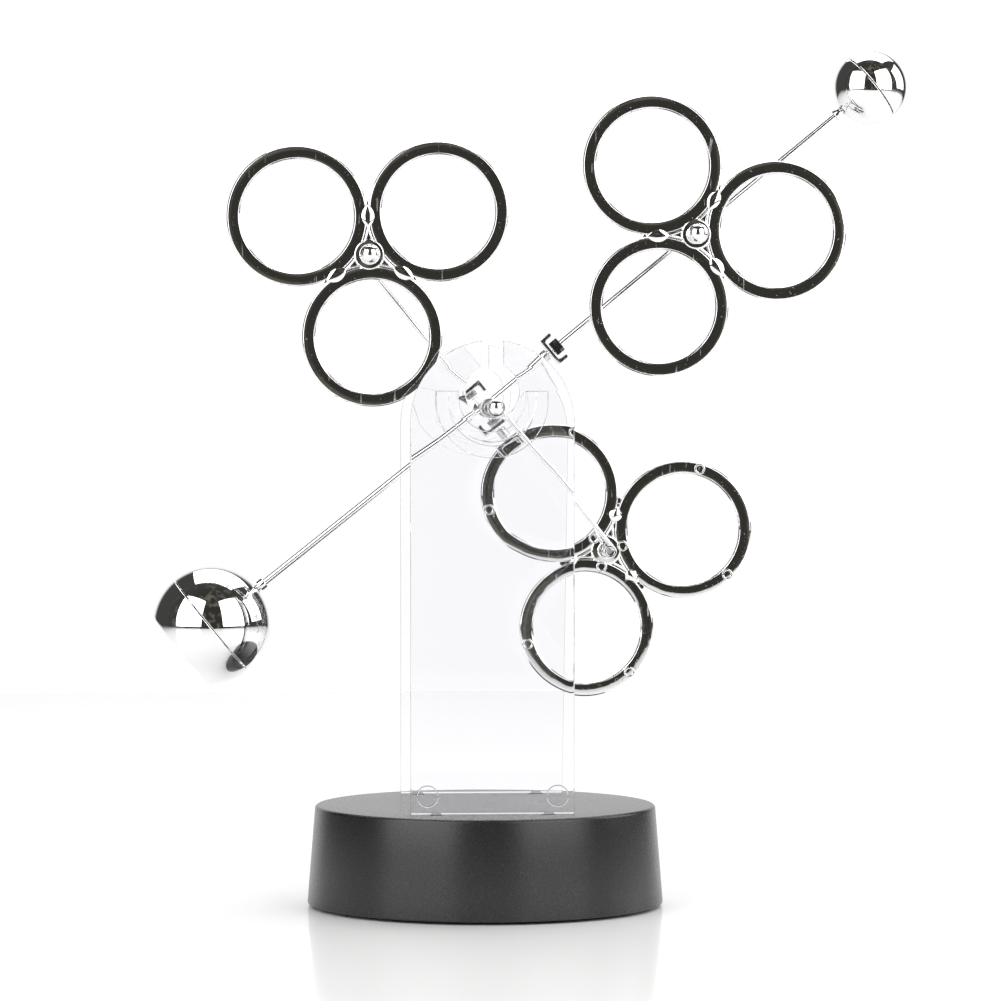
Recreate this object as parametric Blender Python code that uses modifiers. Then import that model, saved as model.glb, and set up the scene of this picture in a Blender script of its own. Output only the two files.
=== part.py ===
"""Kinetic desk mobile: a cross of chrome rods rocks on an axle between two clear plates.

A magnet in the big ball is pushed by a coil in the round base, a small ball balances it, and three
trios of rings spin on pins at the arms' ends. Lengths here are millimetres, scaled to metres on use.
Frame: origin at the centre of the underside, +Z up, front towards -Y, +X to the right.
"""
import math

import bmesh
import bpy
from mathutils import Matrix, Vector

MM = 0.001
GAP = 0.3  # running or touching gap between neighbouring solids

# ---- driving dimensions: base ----
BASE_R_BOTTOM = 60.0
BASE_R_TOP = 57.5
BASE_LIFT = 1.0  # underside of the shell above the table
BASE_TOP = 34.0
BASE_WALL = 2.4
BASE_FILLET = 1.0
PAD_R = 55.6
COVER_R = 56.8
COVER_T = 2.0
POST_R = 3.6
POST_RING = 50.0
POST_ANGLES = (-20, 90, 200)
POST_HOLE_R = 1.3
SCREW_R = 1.0
SCREW_REACH = 7.5  # of the shank above the cover's underside
SCREW_HEAD = (2.6, -0.2, -0.8)  # radius, upper face, lower face
SCREW_CLEAR_R = 1.6
DOOR_X = 29.0  # half length of the battery hatch
DOOR_Y = 14.8  # half width
DOOR_T = 1.6
BATTERY = (48.5, 26.5, 17.0)
BATTERY_CENTRE = (0.0, 30.0)
BATTERY_FLOOR = 4.6
SNAP = (4.0, 25.0, 15.5)
SNAP_GAP = 0.6
BOARD = (46.0, 20.0, 1.6)
BOARD_CENTRE = (0.0, -36.0)
BOARD_Z = 8.0
BOARD_PARTS_X = 12.0  # of the transistor and capacitor from the board's middle
TRANSISTOR = (5.0, 4.2, 5.0)
CAPACITOR_R = 3.2
CAPACITOR_T = 11.0
COIL_R = 15.0
COIL_T = 15.0
COIL_FLANGE = 1.2
COIL_CORE_R = 4.0

# ---- driving dimensions: clear plates ----
PLATE_GAP = 77.7  # between the plates' middle planes
PLATE_T = 2.5
PLATE_W = 54.0
ARCH_Z = 163.0  # centre of the round top
KEY_Z = 173.25  # centre of the round hole
KEY_R = 8.85
SLOT_W = 7.2
SADDLE_R = 18.4  # thick U-shaped seat under the hole
SADDLE_Z = 169.6
SADDLE_T = 1.2
TAB_X = 18.6
TAB_W = 3.7
TAB_T = 2.3
TAB_DEPTH = 5.0

# ---- driving dimensions: rotor, in its own (along, depth, across) axes at the axle ----
AXLE_X = 1.2
AXLE_Z = 167.83
TILT = math.radians(39.17)  # of the long arm above level, as it stands
AXLE_R = 1.5
AXLE_BALL_R = 3.0
ROD_R = 1.1
ARM_R = 0.85
ROD_OFFSET = 2.46  # the balls' line above the axle
ROD_AT_HUB = 1.3
HUB_R = 3.0
HUB_REAR = -4.0
COLLAR_R = 3.3
COLLAR_SPAN = (3.6, 9.0)
ROD_START = 2.6
BIG_U = -118.54
BIG_R = 20.0
BIG_FLAT = 13.4
MAGNET_R = 10.0
MAGNET_T = 6.0
HOLDER_R = 6.0
HOLDER_END = 15.0  # from the big ball's middle towards the rod
SMALL_U = 169.0
SMALL_R = 12.5
PLUG_R = 4.5
PLUG_T = 7.0
PLUG_AT = 6.0
BALL_WALL = 1.4
BALL_SEAM = 0.15
FERRULE_R = 1.9
FERRULE_T = 2.4
FERRULE_STEP = 1.75  # of a ferrule's middle beyond its ball
LEFT_ARM_U = -1.75
RIGHT_ARM_U = 2.4
RIGHT_ARM_Y = -6.0
STRIP_DEPTH = 6.0
STRIP_FLANGE = 4.5
STRIP_T = 1.4
STRIP_HOLE_REACH = 6.0
# name, along, across, the way it opens, width
BRACKETS = (
    ("bracket_left", -1.85, 9.7, (0, -1), 10.5),
    ("bracket_right", -1.85, -7.0, (0, 1), 10.5),
    ("bracket_lower", -2.45, -11.8, (0, -1), 9.0),
    ("bracket_upper", 27.4, 1.55, (1, 0), 10.5),
)
NUT_R = 1.7
# name, across, length
NUTS = (("nut_left", 7.1, 1.8), ("nut_right", -4.4, 1.8), ("spacer_lower", -9.4, 3.4))
STUD_SPAN = (-2.5, -13.6)
BRACKET_ROD_V = 1.5  # of the upper rod where the upper bracket sits
COLLAR_UPPER = (25.8, 2.0, 2.2)  # along, radius, length
BEAD_UPPER = (30.9, 2.3, 3.2)

# ---- driving dimensions: ring trios ----
RING_R = 23.4
RING_HOLE_R = 19.0
RING_BEVEL = 1.1
RING_CHAMFER = 0.7
RING_T = 3.0
RING_CENTRE = 27.3
WEB_R = 17.0
WEB_T = 1.6
WEB_HOLE_R = 21.2
BOSS_R = 5.25
BOSS_T = 3.8
PIN_R = 1.0
SLEEVE_R = 2.15
SLEEVE_GAP = 1.2
CAP_R = 3.5
CAP_GAP = 0.4
BLOCK_R = 3.0
BLOCK_REAR = 2.6
# name, along, across, depth of the rings, turn of the first ring in degrees
TRIOS = (
    ("left", 0.74, 65.27, -10.5, -7.1),
    ("upper", 90.35, 1.56, -10.5, -36.5),
    ("right", 0.9, -63.15, 10.5, -24.4),
)

PIN_START = {"left": 1.9, "upper": -1.9, "right": -6.0}  # depth of each pin's inner end

CHROME = ((0.83, 0.83, 0.84), 0.06, 1.0)
STEEL = ((0.62, 0.62, 0.63), 0.3, 1.0)
COPPER = ((0.72, 0.36, 0.2), 0.35, 1.0)
BLACK = ((0.03, 0.03, 0.032), 0.42, 0.0)
DARK = ((0.02, 0.02, 0.02), 0.3, 0.0)
RUBBER = ((0.02, 0.02, 0.02), 0.85, 0.0)
CLEAR = ((0.93, 0.93, 0.98), 0.03, 0.0)
GREEN = ((0.05, 0.25, 0.11), 0.45, 0.0)
WHITE = ((0.75, 0.75, 0.72), 0.5, 0.0)
RED = ((0.5, 0.03, 0.03), 0.5, 0.0)

PARTS = None
CUTTERS = None


# ------------------------------------------------------------------ scene and helpers
def clear_scene():
    """Remove whatever the file opens with and make the two collections."""
    global PARTS, CUTTERS
    for obj in list(bpy.data.objects):
        bpy.data.objects.remove(obj, do_unlink=True)
    PARTS = bpy.data.collections.new("kinetic_mobile")
    CUTTERS = bpy.data.collections.new("cutters")
    bpy.context.scene.collection.children.link(PARTS)
    bpy.context.scene.collection.children.link(CUTTERS)


def material(name, finish):
    """A plain Principled material of one colour."""
    colour, roughness, metallic = finish
    made = bpy.data.materials.new(name)
    made.use_nodes = True
    shader = made.node_tree.nodes["Principled BSDF"]
    shader.inputs["Base Color"].default_value = (*colour, 1.0)
    shader.inputs["Roughness"].default_value = roughness
    shader.inputs["Metallic"].default_value = metallic
    return made


def turn_towards(axis):
    """Rotation that carries local +Z onto an axis."""
    return Vector((0, 0, 1)).rotation_difference(Vector(axis)).to_matrix().to_4x4()


def put(obj, at=(0, 0, 0), axis=(0, 0, 1), parent=None, turn=0.0):
    """Stand a shape at a point with its own Z along an axis, turned about it in degrees."""
    place = Matrix.Translation(Vector(at) * MM) @ turn_towards(axis)
    obj.matrix_local = place @ Matrix.Rotation(math.radians(turn), 4, "Z")
    if parent is not None:
        obj.parent = parent
    return obj


def node(obj, name, finish):
    """Give a shape its name and material and file it with the parts."""
    obj.name = name
    obj.data.name = name
    obj.data.materials.clear()
    obj.data.materials.append(material(name, finish))
    PARTS.objects.link(obj)
    return obj


def cutter(obj, name):
    """File a helper shape with the cutters, out of the render."""
    obj.name = name
    obj.hide_render = True
    obj.display_type = "WIRE"
    CUTTERS.objects.link(obj)
    return obj


def from_bmesh(work, smooth=True):
    """Turn a bmesh into an object, shaded smooth but for its sharp edges."""
    mesh = bpy.data.meshes.new("shape")
    work.to_mesh(mesh)
    work.free()
    if smooth:
        mesh.shade_smooth()
        mesh.set_sharp_from_angle(angle=math.radians(35))
    return bpy.data.objects.new("shape", mesh)


def box(size):
    """A plain block of a given size about its centre."""
    work = bmesh.new()
    bmesh.ops.create_cube(work, size=1.0)
    bmesh.ops.scale(work, vec=Vector(size) * MM, verts=work.verts)
    return from_bmesh(work, smooth=False)


def cylinder(radius, length, sides=24):
    """A round bar along Z about its centre."""
    work = bmesh.new()
    bmesh.ops.create_cone(
        work, cap_ends=True, segments=sides, radius1=radius * MM, radius2=radius * MM, depth=length * MM
    )
    return from_bmesh(work)


def turned(profile, steps=32, loop=False):
    """A turned shape: (radius, height) points run down its outer side, top to bottom."""
    mesh = bpy.data.meshes.new("shape")
    points = [(r * MM, 0, z * MM) for r, z in profile]
    edges = [(i, i + 1) for i in range(len(points) - 1)]
    if loop:
        edges.append((len(points) - 1, 0))
    mesh.from_pydata(points, edges, [])
    obj = bpy.data.objects.new("shape", mesh)
    screw = obj.modifiers.new("turn", "SCREW")
    screw.axis = "Z"
    screw.steps = steps
    screw.render_steps = steps
    screw.use_merge_vertices = True
    screw.merge_threshold = 0.00001
    screw.use_smooth_shade = True
    return obj


def tube(radius, bore, length, steps=24):
    """A plain sleeve along Z about its centre."""
    half = length / 2
    return turned([(bore, half), (radius, half), (radius, -half), (bore, -half)], steps, loop=True)


def boolean(target, other, operation="DIFFERENCE"):
    """Cut or join another shape with the exact solver."""
    change = target.modifiers.new(operation.lower(), "BOOLEAN")
    change.operation = operation
    change.solver = "EXACT"
    change.object = other
    return target


def bevel(obj, width, segments=2):
    """Round the sharp edges of a block."""
    change = obj.modifiers.new("edge", "BEVEL")
    change.width = width * MM
    change.segments = segments
    return obj


def arc(centre, radius, start, end, count):
    """Points on an arc between two angles in degrees, both ends included."""
    angles = [math.radians(start + (end - start) * i / (count - 1)) for i in range(count)]
    return [(centre[0] + radius * math.cos(a), centre[1] + radius * math.sin(a)) for a in angles]


def outline_solid(points, thickness):
    """A flat outline given in x and z, thickened about y = 0, as a welded mesh."""
    curve = bpy.data.curves.new("outline", "CURVE")
    curve.dimensions = "2D"
    curve.fill_mode = "BOTH"
    curve.extrude = thickness / 2 * MM
    spline = curve.splines.new("POLY")
    spline.points.add(len(points) - 1)
    for point, (x, z) in zip(spline.points, points):
        point.co = (x * MM, z * MM, 0, 1)
    spline.use_cyclic_u = True
    flat = bpy.data.objects.new("outline", curve)
    bpy.context.scene.collection.objects.link(flat)
    graph = bpy.context.evaluated_depsgraph_get()
    mesh = bpy.data.meshes.new_from_object(flat.evaluated_get(graph))
    bpy.data.objects.remove(flat, do_unlink=True)
    work = bmesh.new()
    work.from_mesh(mesh)
    bmesh.ops.remove_doubles(work, verts=work.verts, dist=0.00001)
    bmesh.ops.rotate(work, verts=work.verts, matrix=Matrix.Rotation(math.radians(90), 3, "X"))
    bmesh.ops.dissolve_limit(work, angle_limit=0.01, verts=work.verts, edges=work.edges)
    bmesh.ops.recalc_face_normals(work, faces=work.faces)
    return from_bmesh(work)


def empty(name, at, turn=0.0, parent=None):
    """An axis marker that moving pieces hang on, turned towards +Z from +X by an angle."""
    marker = bpy.data.objects.new(name, None)
    PARTS.objects.link(marker)
    marker.parent = parent
    marker.matrix_local = Matrix.Translation(Vector(at) * MM) @ Matrix.Rotation(-turn, 4, "Y")
    return marker


# ------------------------------------------------------------------ base
def plate_tabs():
    """Centres of the four slots that the plates' tabs drop into."""
    return [(x, y) for y in (-PLATE_GAP / 2, PLATE_GAP / 2) for x in (-TAB_X, TAB_X)]


def ring_points(radius, angles):
    """Points on a circle about the origin, at angles in degrees."""
    return [(radius * math.cos(math.radians(a)), radius * math.sin(math.radians(a))) for a in angles]


def make_base_shell():
    """The drafted round cover, open below, with slots for the plates and posts for the screws."""
    inner_top = BASE_TOP - BASE_WALL
    fillet = [(0, BASE_TOP)] + arc((BASE_R_TOP - BASE_FILLET, BASE_TOP - BASE_FILLET), BASE_FILLET, 90, 3, 4)
    rest = [(BASE_R_BOTTOM, BASE_LIFT), (BASE_R_BOTTOM - BASE_WALL, BASE_LIFT)]
    shell = turned(fillet + rest + [(BASE_R_TOP - BASE_WALL, inner_top), (0, inner_top)], steps=60)
    for index, (x, y) in enumerate(ring_points(POST_RING, POST_ANGLES)):
        bottom = BASE_LIFT + GAP + COVER_T + GAP
        post = cutter(cylinder(POST_R, inner_top + 0.5 - bottom, 16), f"post_{index}")
        put(post, (x, y, (inner_top + 0.5 + bottom) / 2))
        boolean(shell, post, "UNION")
        hole = cutter(cylinder(POST_HOLE_R, 12, 12), f"post_hole_{index}")
        boolean(shell, put(hole, (x, y, bottom + 5)))
    for index, (x, y) in enumerate(plate_tabs()):
        slot = cutter(box((TAB_W + 2 * GAP, PLATE_T + 2 * GAP, 8)), f"tab_slot_{index}")
        boolean(shell, put(slot, (x, y, BASE_TOP)))
    node(shell, "base_shell", BLACK)


def hatch_window(name, depth, height):
    """A cutter for the battery hatch's opening."""
    size = (2 * (DOOR_X + GAP), 2 * (DOOR_Y + GAP), depth)
    return put(cutter(box(size), name), (BATTERY_CENTRE[0], BATTERY_CENTRE[1], height))


def make_underside():
    """The bottom cover, its pad, its screws and the battery hatch."""
    cover_z = BASE_LIFT + GAP + COVER_T / 2
    cover = cylinder(COVER_R, COVER_T, 64)
    boolean(put(cover, (0, 0, cover_z)), hatch_window("cover_window", 10, cover_z))
    pad = cylinder(PAD_R, BASE_LIFT, 64)
    boolean(put(pad, (0, 0, BASE_LIFT / 2)), hatch_window("pad_window", 10, 0))
    head_r, head_top, head_low = SCREW_HEAD
    profile = [(0, SCREW_REACH), (SCREW_R, SCREW_REACH), (SCREW_R, head_top)]
    profile += [(head_r, head_top), (head_r, head_low), (0, head_low)]
    for index, (x, y) in enumerate(ring_points(POST_RING, POST_ANGLES)):
        hole = put(cutter(cylinder(SCREW_CLEAR_R, 10, 12), f"cover_hole_{index}"), (x, y, cover_z))
        boolean(cover, hole)
        access = put(cutter(cylinder(head_r + GAP, 10, 16), f"pad_hole_{index}"), (x, y, 0))
        boolean(pad, access)
        screw = put(turned(profile, steps=12), (x, y, BASE_LIFT + 0.1))
        node(screw, f"cover_screw_{index + 1}", STEEL)
    node(cover, "bottom_cover", BLACK)
    node(pad, "base_pad", RUBBER)
    hinge_y = BATTERY_CENTRE[1] + DOOR_Y
    hinge = empty("hatch_axis", (BATTERY_CENTRE[0], hinge_y, 0))
    door = bevel(box((2 * DOOR_X, 2 * DOOR_Y, DOOR_T)), 0.3, 1)
    node(put(door, (0, -DOOR_Y, cover_z - 0.1), parent=hinge), "battery_hatch", BLACK)


def make_power():
    """The battery over the hatch, with the snap on its terminals."""
    x, y = BATTERY_CENTRE
    z = BATTERY_FLOOR + BATTERY[2] / 2
    battery = bevel(box(BATTERY), 1.2, 2)
    node(put(battery, (x, y, z)), "battery_9v", DARK)
    snap = bevel(box(SNAP), 0.5, 1)
    snap_x = x + (BATTERY[0] + SNAP[0]) / 2 + SNAP_GAP
    node(put(snap, (snap_x, y, z)), "battery_snap", RED)


def make_board():
    """The circuit board and the two parts that stand on it."""
    x, y = BOARD_CENTRE
    node(put(box(BOARD), (x, y, BOARD_Z)), "circuit_board", GREEN)
    top = BOARD_Z + BOARD[2] / 2 + GAP
    transistor = bevel(box(TRANSISTOR), 0.6, 1)
    node(put(transistor, (x - BOARD_PARTS_X, y, top + TRANSISTOR[2] / 2)), "transistor", DARK)
    capacitor = cylinder(CAPACITOR_R, CAPACITOR_T, 20)
    node(put(capacitor, (x + BOARD_PARTS_X, y, top + CAPACITOR_T / 2)), "capacitor", DARK)


def make_coil():
    """The bobbin, its winding and its iron core, close under the base's top."""
    top = BASE_TOP - BASE_WALL - GAP
    low = top - COIL_T
    middle = (0, 0, (top + low) / 2)
    bore = COIL_CORE_R + GAP
    hub = bore + COIL_FLANGE
    profile = [(bore, top), (COIL_R, top), (COIL_R, top - COIL_FLANGE), (hub, top - COIL_FLANGE)]
    profile += [(hub, low + COIL_FLANGE), (COIL_R, low + COIL_FLANGE), (COIL_R, low), (bore, low)]
    node(turned(profile, steps=24, loop=True), "coil_bobbin", WHITE)
    length = COIL_T - 2 * (COIL_FLANGE + GAP)
    winding = tube(COIL_R - 1.5, hub + GAP, length, 24)
    node(put(winding, middle), "coil_winding", COPPER)
    node(put(cylinder(COIL_CORE_R, COIL_T, 20), middle), "coil_core", STEEL)


# ------------------------------------------------------------------ clear plates
def plate_outline():
    """Upright with a round top and a keyhole slot open above."""
    half = PLATE_W / 2
    foot = BASE_TOP + GAP
    slot = SLOT_W / 2
    points = [(half, foot)]
    mouth = math.degrees(math.acos(slot / half))
    points += arc((0, ARCH_Z), half, 0, mouth, 16)
    throat = math.degrees(math.acos(slot / KEY_R))
    points += arc((0, KEY_Z), KEY_R, throat, -throat - 180, 28)
    points += arc((0, ARCH_Z), half, 180 - mouth, 180, 16)
    points.append((-half, foot))
    return points


def saddle_outline():
    """The U-shaped thickening that the axle's ball rests above."""
    inner = KEY_R + 0.4
    outer = [(SADDLE_R, KEY_Z)] + arc((0, SADDLE_Z), SADDLE_R, 0, -180, 28) + [(-SADDLE_R, KEY_Z)]
    return outer + arc((0, KEY_Z), inner, 180, 360, 18)


def make_plate(name, side):
    """One clear upright; its saddle faces the rotor."""
    plate = outline_solid(plate_outline(), PLATE_T)
    y = side * PLATE_GAP / 2
    depth = SADDLE_T + 0.5
    saddle = cutter(outline_solid(saddle_outline(), depth), f"{name}_saddle")
    put(saddle, (0, y - side * (PLATE_T / 2 + depth / 2 - 0.5), 0))
    boolean(put(plate, (0, y, 0)), saddle, "UNION")
    tab_top = BASE_TOP + GAP + 1.0
    tab_end = BASE_TOP - TAB_DEPTH
    for index, x in enumerate((-TAB_X, TAB_X)):
        tab = cutter(box((TAB_W, TAB_T, tab_top - tab_end)), f"{name}_tab_{index}")
        boolean(plate, put(tab, (x, y, (tab_top + tab_end) / 2)), "UNION")
    node(plate, name, CLEAR)


# ------------------------------------------------------------------ rotor
def bar(start, end, radius, parent, sides=16):
    """A straight wire between two points of the rotor's frame."""
    span = Vector(end) - Vector(start)
    middle = (Vector(start) + Vector(end)) / 2
    return put(cylinder(radius, span.length, sides), middle, span.normalized(), parent)


def make_axle(rotor):
    """The axle and the balls that sit in the plates' keyholes."""
    reach = PLATE_GAP / 2
    core = cylinder(AXLE_R, 2 * (reach - AXLE_BALL_R + 1.0), 20)
    node(put(core, axis=(0, 1, 0), parent=rotor), "axle", CHROME)
    for name, side in (("axle_ball_front", -1), ("axle_ball_rear", 1)):
        depth = AXLE_BALL_R - 1.0 - GAP
        bore = AXLE_R + GAP
        low = -math.sqrt(AXLE_BALL_R**2 - bore**2)
        start = math.degrees(math.asin(low / AXLE_BALL_R))
        profile = arc((0, 0), AXLE_BALL_R, 90, start, 8) + [(bore, -depth), (0, -depth)]
        profile[0] = (0, AXLE_BALL_R)
        ball = turned(profile, steps=18)
        node(put(ball, (0, side * reach, 0), (0, side, 0), rotor), name, CHROME)


def make_hub(rotor):
    """The stepped sleeve on the axle that every rod is set into."""
    bore = AXLE_R + GAP
    step, front = COLLAR_SPAN
    profile = [(bore, front), (COLLAR_R, front), (COLLAR_R, step), (HUB_R, step)]
    profile += [(HUB_R, HUB_REAR), (bore, HUB_REAR)]
    hub = put(turned(profile, steps=20, loop=True), axis=(0, -1, 0), parent=rotor)
    sockets = (
        ((-9, 0, ROD_AT_HUB), (-2.3, 0, ROD_AT_HUB), ROD_R),
        ((9, 0, ROD_AT_HUB), (2.3, 0, ROD_AT_HUB), ROD_R),
        ((LEFT_ARM_U, 0, 9), (LEFT_ARM_U, 0, 2.45), ARM_R),
        ((LEFT_ARM_U, 0, -9), (LEFT_ARM_U, 0, -2.2), ARM_R),
        ((RIGHT_ARM_U, RIGHT_ARM_Y, -9), (RIGHT_ARM_U, RIGHT_ARM_Y, -1.5), ARM_R),
    )
    for index, (start, end, radius) in enumerate(sockets):
        boolean(hub, cutter(bar(start, end, radius + GAP, rotor), f"hub_socket_{index}"))
    node(hub, "hub", STEEL)


def make_rods(rotor):
    """The long rods to the two balls, and the short arms with a sleeve for each trio's pin."""
    start = (BIG_U + 2.0, 0, ROD_OFFSET)
    node(bar(start, (-ROD_START, 0, ROD_AT_HUB), ROD_R, rotor), "drive_rod", CHROME)
    end = (SMALL_U - 2.0, 0, ROD_OFFSET)
    node(bar((ROD_START, 0, ROD_AT_HUB), end, ROD_R, rotor), "upper_rod", CHROME)
    _, left_u, left_v, left_y, _ = TRIOS[0]
    arm = bar((LEFT_ARM_U, 0, 2.75), (LEFT_ARM_U, 0, left_v + 1.5), ARM_R, rotor)
    add_sleeve(arm, "left_sleeve", (left_u, left_v), (left_y + RING_T / 2 + SLEEVE_GAP, 2.0), rotor)
    node(arm, "left_arm", CHROME)
    _, right_u, right_v, right_y, _ = TRIOS[2]
    start = (RIGHT_ARM_U, RIGHT_ARM_Y, -1.8)
    arm = bar(start, (RIGHT_ARM_U, RIGHT_ARM_Y, right_v - 1.5), ARM_R, rotor)
    span = (RIGHT_ARM_Y - SLEEVE_GAP, right_y - RING_T / 2 - SLEEVE_GAP)
    add_sleeve(arm, "right_sleeve", (right_u, right_v), span, rotor)
    node(arm, "right_arm", CHROME)


def add_sleeve(arm, name, centre, span, rotor):
    """Braze a sleeve along the depth onto an arm's end and bore it for the pin."""
    middle = (centre[0], (span[0] + span[1]) / 2, centre[1])
    length = span[1] - span[0]
    sleeve = put(cutter(cylinder(SLEEVE_R, length, 20), name), middle, (0, 1, 0), rotor)
    boolean(arm, sleeve, "UNION")
    bore = put(cutter(cylinder(PIN_R + GAP, length + 4, 16), name + "_bore"), middle, (0, 1, 0), rotor)
    boolean(arm, bore)


def make_bracket(name, u, v, towards, width, rotor):
    """A bent strip: a web across one rod and two flanges that point along it."""
    half = width / 2
    inner = half - STRIP_T
    profile = [(-half, 0), (half, 0), (half, STRIP_FLANGE), (inner, STRIP_FLANGE)]
    profile += [(inner, STRIP_T), (-inner, STRIP_T), (-inner, STRIP_FLANGE), (-half, STRIP_FLANGE)]
    strip = outline_solid(profile, STRIP_DEPTH)
    turn = math.atan2(towards[1], towards[0]) - math.pi / 2
    strip.matrix_local = Matrix.Translation(Vector((u, 0, v)) * MM) @ Matrix.Rotation(-turn, 4, "Y")
    strip.parent = rotor
    on_upper_rod = towards[0] != 0
    along = Vector((towards[0], 0, towards[1])) * STRIP_HOLE_REACH
    here = Vector((u, 0, v)) if on_upper_rod else Vector((LEFT_ARM_U, 0, v))
    radius = ROD_R if on_upper_rod else ARM_R
    boolean(strip, cutter(bar(here - along, here + along, radius + GAP, rotor), name + "_hole"))
    node(strip, name, CHROME)


def make_link(rotor):
    """Four U brackets with the stud, nuts, collar and bead that hold them by the hub."""
    for name, u, v, towards, width in BRACKETS:
        make_bracket(name, u, v, towards, width, rotor)
    start, end = STUD_SPAN
    stud = bar((LEFT_ARM_U, 0, start), (LEFT_ARM_U, 0, end), ARM_R, rotor)
    node(stud, "link_stud", CHROME)
    for name, v, length in NUTS:
        nut = tube(NUT_R, ARM_R + GAP, length, 16)
        node(put(nut, (LEFT_ARM_U, 0, v), parent=rotor), name, STEEL)
    bore = ROD_R + GAP
    for name, (u, radius, length), finish in (
        ("collar_upper", COLLAR_UPPER, STEEL),
        ("bead_upper", BEAD_UPPER, DARK),
    ):
        ring = tube(radius, bore, length, 20)
        node(put(ring, (u, 0, BRACKET_ROD_V), (1, 0, 0), rotor), name, finish)


def neck_half(radius, steps, count):
    """The half of a hollow ball that its rod enters, opening towards local +Z."""
    inner = radius - BALL_WALL
    neck = ROD_R + GAP
    low = math.degrees(math.asin(BALL_SEAM / radius))
    profile = arc((0, 0), radius, math.degrees(math.acos(neck / radius)), low, count)
    profile += arc((0, 0), inner, low, math.degrees(math.acos(neck / inner)), 4)
    return turned(profile, steps, loop=True)


def ferrule(name, ball_u, radius, side, rotor):
    """The short collar where a rod enters its ball."""
    u = ball_u + side * (radius + FERRULE_STEP)
    slope = (ROD_OFFSET - ROD_AT_HUB) / abs(ball_u)
    v = ROD_OFFSET - slope * (radius + FERRULE_STEP)
    ring = tube(FERRULE_R, ROD_R + GAP, FERRULE_T, 20)
    node(put(ring, (u, 0, v), (1, 0, 0), rotor), name, CHROME)


def make_drive_ball(rotor):
    """The big ball: two chrome halves, the outer one cut flat over the magnet."""
    inner = BIG_R - BALL_WALL
    top = math.degrees(math.asin(BIG_FLAT / BIG_R))
    inner_top = math.degrees(math.asin((BIG_FLAT - BALL_WALL) / inner))
    low = math.degrees(math.asin(BALL_SEAM / BIG_R))
    cap = [(0, BIG_FLAT)] + arc((0, 0), BIG_R, top, low, 6)
    cap += arc((0, 0), inner, low, inner_top, 4) + [(0, BIG_FLAT - BALL_WALL)]
    centre = (BIG_U, 0, ROD_OFFSET)
    node(put(turned(cap, 32), centre, (-1, 0, 0), rotor), "drive_ball_cap", CHROME)
    node(put(neck_half(BIG_R, 32, 9), centre, (1, 0, 0), rotor), "drive_ball_neck", CHROME)
    magnet_u = BIG_U - BIG_FLAT + BALL_WALL + GAP + MAGNET_T / 2
    magnet = cylinder(MAGNET_R, MAGNET_T, 28)
    node(put(magnet, (magnet_u, 0, ROD_OFFSET), (1, 0, 0), rotor), "drive_magnet", STEEL)
    start = magnet_u + MAGNET_T / 2 + GAP
    end = BIG_U + HOLDER_END
    holder = cylinder(HOLDER_R, end - start, 24)
    put(holder, ((start + end) / 2, 0, ROD_OFFSET), (1, 0, 0), rotor)
    bore = bar((BIG_U + 1.5, 0, ROD_OFFSET), (end + 5, 0, ROD_OFFSET), ROD_R + 1.5 * GAP, rotor)
    boolean(holder, cutter(bore, "holder_bore"))
    node(holder, "magnet_holder", WHITE)
    ferrule("drive_ball_ferrule", BIG_U, BIG_R, 1, rotor)


def make_tip_ball(rotor):
    """The small balancing ball, in two halves, with its plug and ferrule."""
    inner = SMALL_R - BALL_WALL
    low = math.degrees(math.asin(BALL_SEAM / SMALL_R))
    cap = arc((0, 0), SMALL_R, 90, low, 7) + arc((0, 0), inner, low, 90, 4)
    cap[0] = (0, SMALL_R)
    cap[-1] = (0, inner)
    centre = (SMALL_U, 0, ROD_OFFSET)
    node(put(turned(cap, 24), centre, (1, 0, 0), rotor), "tip_ball_cap", CHROME)
    node(put(neck_half(SMALL_R, 24, 7), centre, (-1, 0, 0), rotor), "tip_ball_neck", CHROME)
    plug = tube(PLUG_R, ROD_R + GAP, PLUG_T, 20)
    node(put(plug, (SMALL_U - PLUG_AT, 0, ROD_OFFSET), (1, 0, 0), rotor), "tip_ball_plug", WHITE)
    ferrule("tip_ball_ferrule", SMALL_U, SMALL_R, -1, rotor)


# ------------------------------------------------------------------ ring trios
def ring_places():
    """Centres of the three rings round the trio's own axis."""
    return ring_points(RING_CENTRE, (0, 120, 240))


def trio_mesh():
    """Three bevelled rings, the web between them and the bored boss, joined as one moulding along Z."""
    half = RING_T / 2
    edge = half - RING_CHAMFER
    profile = [(RING_HOLE_R + RING_BEVEL, half), (RING_R, half), (RING_R, -half)]
    profile += [(RING_HOLE_R + RING_BEVEL, -half), (RING_HOLE_R, -edge), (RING_HOLE_R, edge)]
    web = cutter(cylinder(WEB_R, WEB_T, 36), "trio_web")
    rings = []
    for index, (x, y) in enumerate(ring_places()):
        ring = cutter(turned(profile, steps=38, loop=True), f"trio_ring_{index}")
        rings.append(put(ring, (x, y, 0)))
        hole = cutter(cylinder(WEB_HOLE_R, 8, 38), f"trio_web_hole_{index}")
        boolean(web, put(hole, (x, y, 0)))
    body = rings[0]
    for other in rings[1:] + [web]:
        boolean(body, other, "UNION")
    boolean(body, cutter(cylinder(BOSS_R, BOSS_T, 24), "trio_boss"), "UNION")
    boolean(body, cutter(cylinder(PIN_R + GAP, 10, 12), "trio_bore"))
    bpy.context.view_layer.update()
    graph = bpy.context.evaluated_depsgraph_get()
    mesh = bpy.data.meshes.new_from_object(body.evaluated_get(graph))
    mesh.transform(body.matrix_world)
    return mesh


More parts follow.
